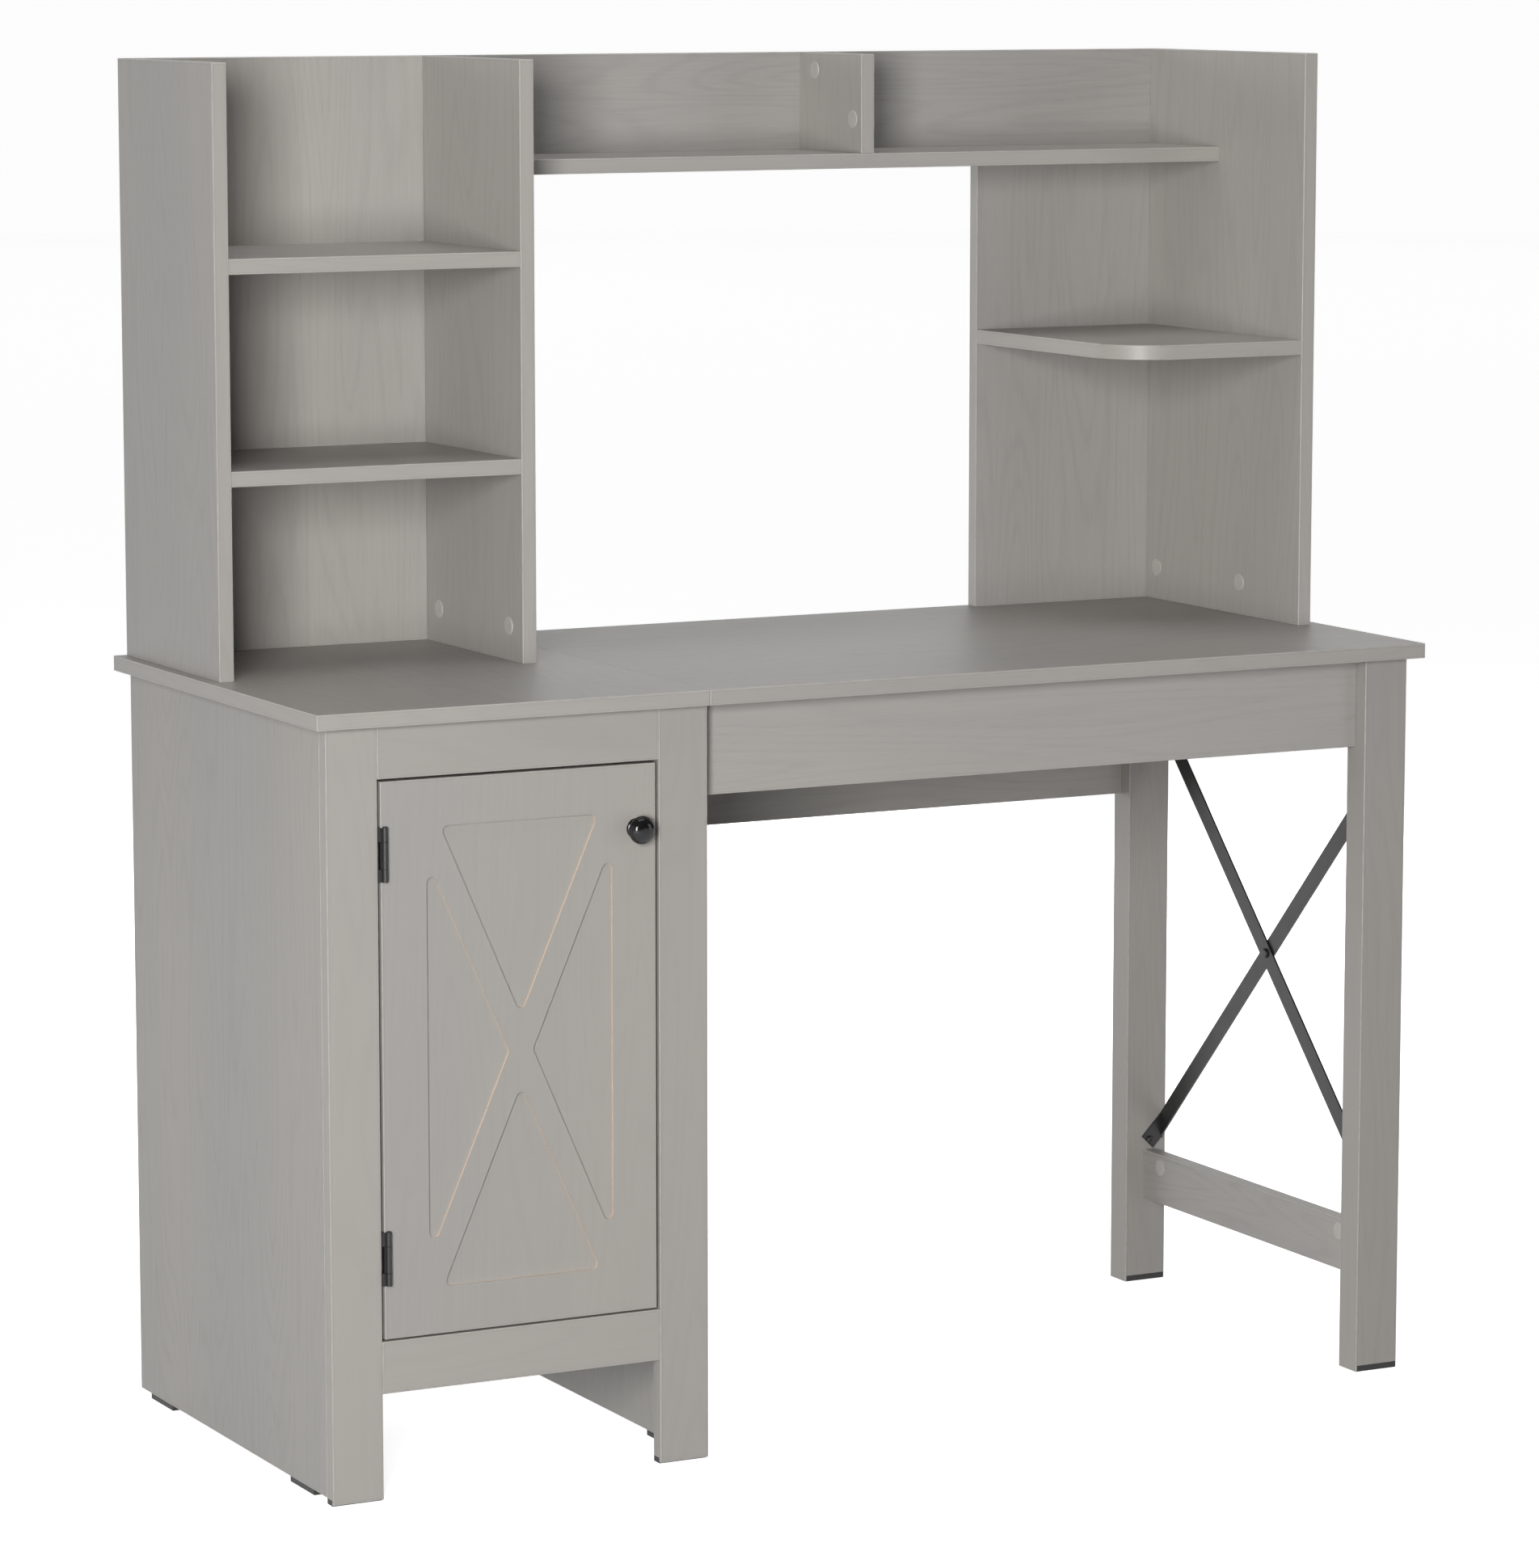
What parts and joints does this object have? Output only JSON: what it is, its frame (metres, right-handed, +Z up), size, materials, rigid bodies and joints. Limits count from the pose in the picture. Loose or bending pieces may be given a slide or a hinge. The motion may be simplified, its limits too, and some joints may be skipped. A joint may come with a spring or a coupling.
{
  "type": "desk with hutch",
  "caption": "Free-standing computer desk with a door cabinet, open leg frame with folded X brace, and a built-on shelf hutch above the worktop.",
  "frame": {"origin": "on the floor under the middle of the outline (bounding box bottom centre)", "axes": "+X to the user's right, +Y to the wall behind, +Z up; the door and knob face -Y"},
  "size_m": [1.212, 0.522, 1.338],
  "materials": {
    "grey_laminate": "warm light grey wood-grain foil on board, satin",
    "hardboard": "thin back panel, grey printed face, matt",
    "beech": "fluted beech dowel, raw",
    "zinc_casting": "as-cast zinc, dull",
    "zinc_steel": "zinc plated steel",
    "cap_plastic": "light grey plastic cover caps, satin",
    "black_plastic": "black moulded plastic, matt",
    "ferrite": "ferrite magnet, dull dark grey",
    "knob_lacquer": "gloss black lacquer",
    "black_metal": "black powder coat, semi-matt"
  },
  "bodies": {
    "desk": {"brace_bar_far": "black_metal", "brace_bar_near": "black_metal", "brace_bolt": "black_metal", "brace_nut": "black_metal", "brace_screws": "black_metal", "cabinet_back": "hardboard", "cabinet_floor": "grey_laminate", "cabinet_shelf": "grey_laminate", "cabinet_side_left": "grey_laminate", "cabinet_side_right": "grey_laminate", "cabinet_top_stretcher": "grey_laminate", "cam_bolts": "zinc_steel", "cam_cover_caps": "cap_plastic", "cam_locks": "zinc_casting", "catch_housing": "black_plastic", "catch_magnet": "ferrite", "catch_screws": "zinc_steel", "desktop_left": "grey_laminate", "desktop_right": "grey_laminate", "front_apron": "grey_laminate", "hinge_frame_screws": "black_metal", "hinge_lower_frame_leaf": "black_metal", "hinge_lower_pin": "black_metal", "hinge_upper_frame_leaf": "black_metal", "hinge_upper_pin": "black_metal", "hutch_bridge_back": "grey_laminate", "hutch_bridge_shelf": "grey_laminate", "hutch_corner_shelf": "grey_laminate", "hutch_divider": "grey_laminate", "hutch_partition": "grey_laminate", "hutch_right_back": "grey_laminate", "hutch_shelf_lower": "grey_laminate", "hutch_shelf_upper": "grey_laminate", "hutch_side_left": "grey_laminate", "hutch_side_right": "grey_laminate", "hutch_tower_back": "grey_laminate", "leg_front": "grey_laminate", "leg_glides": "black_plastic", "leg_rear": "grey_laminate", "leg_stretcher": "grey_laminate", "panel_glides": "black_plastic", "rail_bottom": "grey_laminate", "rail_top": "grey_laminate", "rear_rail": "grey_laminate", "shelf_pins": "zinc_steel", "stile_left": "grey_laminate", "stile_right": "grey_laminate", "wood_dowels": "beech"},
    "door": {"door_panel": "grey_laminate", "door_knob": "knob_lacquer", "knob_screw": "zinc_steel", "hinge_upper_door_leaf": "black_metal", "hinge_lower_door_leaf": "black_metal", "hinge_door_screws": "black_metal", "strike_plate": "zinc_steel", "strike_screw": "zinc_steel"}
  },
  "joints": [
    {"name": "door_hinge", "type": "hinge", "parent": "desk", "child": "door", "pos_m": [-0.535, -0.2434, 0.42], "axis": [0, 0, -1], "range_deg": [0, 170]}
  ]
}
